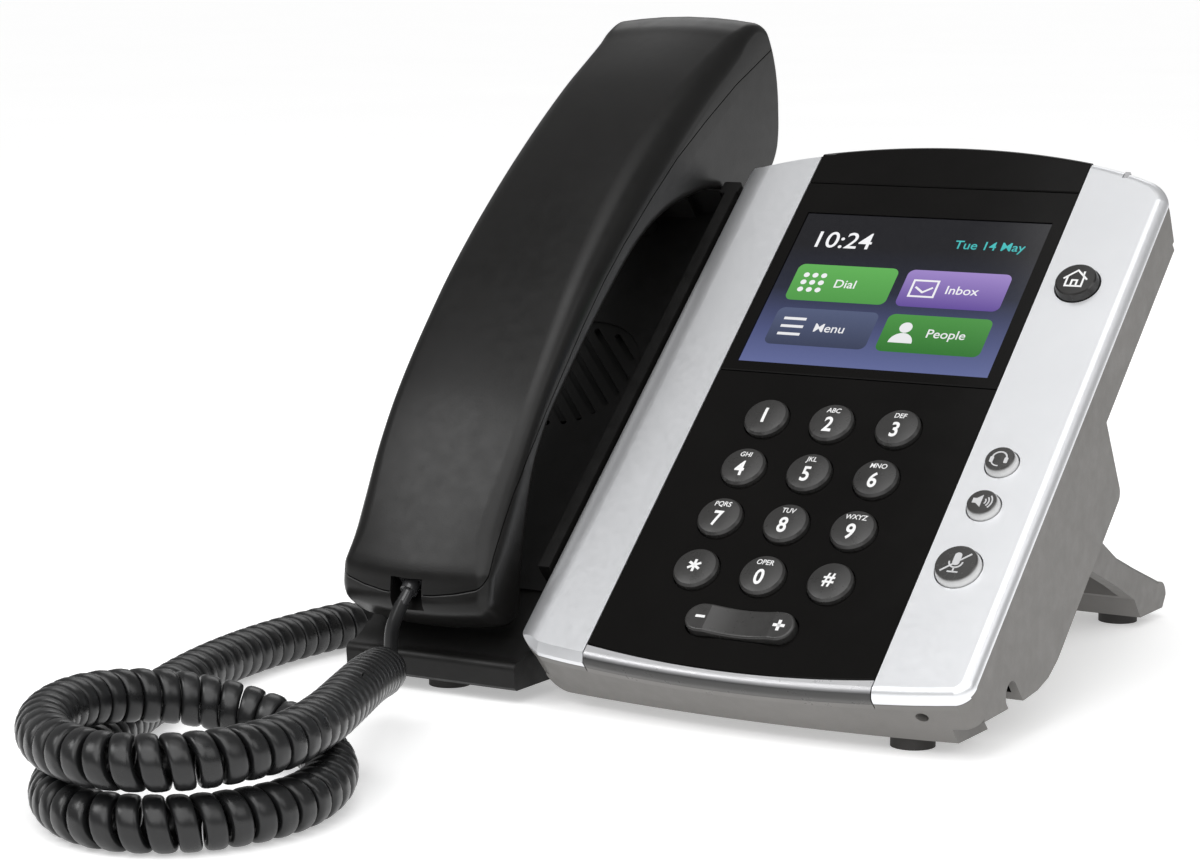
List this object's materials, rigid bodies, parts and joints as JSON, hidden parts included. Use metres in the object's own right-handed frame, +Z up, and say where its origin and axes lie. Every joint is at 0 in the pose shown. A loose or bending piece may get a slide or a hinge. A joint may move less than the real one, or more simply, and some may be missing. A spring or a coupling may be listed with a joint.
{
  "type": "desk ip phone",
  "caption": "Desk phone with a leaning face, colour screen, dial keys and volume rocker, a handset in a side cradle, a curly cord and a rear stand.",
  "frame": {"origin": "on the desk, at the middle of the phone without its cord", "axes": "+Z up from the desk, -Y towards the user, +X to the right of the user"},
  "size_m": [0.2135, 0.3569, 0.1703],
  "materials": {
    "grey_case": "matte",
    "silver_paint": "satin",
    "black_gloss": "gloss",
    "gunmetal": "satin",
    "screen_glass": "gloss",
    "module": "matte",
    "key_plastic": "satin",
    "side_key_plastic": "gloss",
    "lamp": "gloss",
    "cradle_black": "matte",
    "handset_black": "satin",
    "board": "matte",
    "rubber": "matte",
    "steel": "brushed",
    "socket_black": "matte",
    "plug": "gloss",
    "cord": "satin"
  },
  "bodies": {
    "console": {"console_microphone": "module", "console_plug": "plug", "cord_coil": "cord", "cord_lead": "cord", "cord_tail": "cord", "cradle": "cradle_black", "display_frame": "black_gloss", "display_lens": "screen_glass", "front_feet": "rubber", "front_housing": "grey_case", "front_trim": "gunmetal", "handset_jack": "socket_black", "headset_jack": "socket_black", "housing_screws": "steel", "jack_panel": "grey_case", "keypad_board": "board", "keypad_membrane": "rubber", "keypad_plate": "black_gloss", "lcd_module": "module", "left_trim": "silver_paint", "loudspeaker": "module", "main_board": "board", "message_lamp": "lamp", "network_jacks": "socket_black", "network_panel": "grey_case", "rear_feet": "rubber", "rear_housing": "grey_case", "right_trim": "silver_paint", "stand": "grey_case", "top_cap": "black_gloss", "usb_port": "socket_black"},
    "handset": {"handset_back": "handset_black", "handset_front": "handset_black", "handset_receiver": "module", "handset_microphone": "module", "handset_weight": "steel", "handset_socket": "socket_black", "handset_plug": "plug"},
    "hook": {"hook_switch": "cradle_black"},
    "volume": {"volume_rocker": "key_plastic"},
    "key_1": {"key_1": "key_plastic"},
    "key_2": {"key_2": "key_plastic"},
    "key_3": {"key_3": "key_plastic"},
    "key_4": {"key_4": "key_plastic"},
    "key_5": {"key_5": "key_plastic"},
    "key_6": {"key_6": "key_plastic"},
    "key_7": {"key_7": "key_plastic"},
    "key_8": {"key_8": "key_plastic"},
    "key_9": {"key_9": "key_plastic"},
    "key_star": {"key_star": "key_plastic"},
    "key_0": {"key_0": "key_plastic"},
    "key_hash": {"key_hash": "key_plastic"},
    "home_key": {"home_key": "side_key_plastic"},
    "headset_key": {"headset_key": "side_key_plastic"},
    "speaker_key": {"speaker_key": "side_key_plastic"},
    "mute_key": {"mute_key": "side_key_plastic"}
  },
  "joints": [
    {"name": "handset_lift", "type": "slide", "parent": "console", "child": "handset", "axis": [0, -0.67, 0.7423], "range_m": [0, 0.06]},
    {"name": "hook_rise", "type": "slide", "parent": "console", "child": "hook", "axis": [0, -0.67, 0.7423], "range_m": [0, 0.004]},
    {"name": "volume_rock", "type": "hinge", "parent": "console", "child": "volume", "pos_m": [0.02519, -0.08507, 0.0244], "axis": [0, 0.7423, 0.67], "range_deg": [-4, 4], "stiffness_Nm_per_rad": 0.17},
    {"name": "key_1_press", "type": "slide", "parent": "console", "child": "key_1", "axis": [0, 0.67, -0.7423], "range_m": [0, 0.0012], "stiffness_N_per_m": 800},
    {"name": "key_2_press", "type": "slide", "parent": "console", "child": "key_2", "axis": [0, 0.67, -0.7423], "range_m": [0, 0.0012], "stiffness_N_per_m": 800},
    {"name": "key_3_press", "type": "slide", "parent": "console", "child": "key_3", "axis": [0, 0.67, -0.7423], "range_m": [0, 0.0012], "stiffness_N_per_m": 800},
    {"name": "key_4_press", "type": "slide", "parent": "console", "child": "key_4", "axis": [0, 0.67, -0.7423], "range_m": [0, 0.0012], "stiffness_N_per_m": 800},
    {"name": "key_5_press", "type": "slide", "parent": "console", "child": "key_5", "axis": [0, 0.67, -0.7423], "range_m": [0, 0.0012], "stiffness_N_per_m": 800},
    {"name": "key_6_press", "type": "slide", "parent": "console", "child": "key_6", "axis": [0, 0.67, -0.7423], "range_m": [0, 0.0012], "stiffness_N_per_m": 800},
    {"name": "key_7_press", "type": "slide", "parent": "console", "child": "key_7", "axis": [0, 0.67, -0.7423], "range_m": [0, 0.0012], "stiffness_N_per_m": 800},
    {"name": "key_8_press", "type": "slide", "parent": "console", "child": "key_8", "axis": [0, 0.67, -0.7423], "range_m": [0, 0.0012], "stiffness_N_per_m": 800},
    {"name": "key_9_press", "type": "slide", "parent": "console", "child": "key_9", "axis": [0, 0.67, -0.7423], "range_m": [0, 0.0012], "stiffness_N_per_m": 800},
    {"name": "key_star_press", "type": "slide", "parent": "console", "child": "key_star", "axis": [0, 0.67, -0.7423], "range_m": [0, 0.0012], "stiffness_N_per_m": 800},
    {"name": "key_0_press", "type": "slide", "parent": "console", "child": "key_0", "axis": [0, 0.67, -0.7423], "range_m": [0, 0.0012], "stiffness_N_per_m": 800},
    {"name": "key_hash_press", "type": "slide", "parent": "console", "child": "key_hash", "axis": [0, 0.67, -0.7423], "range_m": [0, 0.0012], "stiffness_N_per_m": 800},
    {"name": "home_key_press", "type": "slide", "parent": "console", "child": "home_key", "axis": [0, 0.67, -0.7423], "range_m": [0, 0.0012], "stiffness_N_per_m": 800},
    {"name": "headset_key_press", "type": "slide", "parent": "console", "child": "headset_key", "axis": [0, 0.67, -0.7423], "range_m": [0, 0.0012], "stiffness_N_per_m": 800},
    {"name": "speaker_key_press", "type": "slide", "parent": "console", "child": "speaker_key", "axis": [0, 0.67, -0.7423], "range_m": [0, 0.0012], "stiffness_N_per_m": 800},
    {"name": "mute_key_press", "type": "slide", "parent": "console", "child": "mute_key", "axis": [0, 0.67, -0.7423], "range_m": [0, 0.0012], "stiffness_N_per_m": 800}
  ],
  "couplings": [
    {"joint": "hook_rise", "follows": "handset_lift", "ratio": 0.066667}
  ]
}
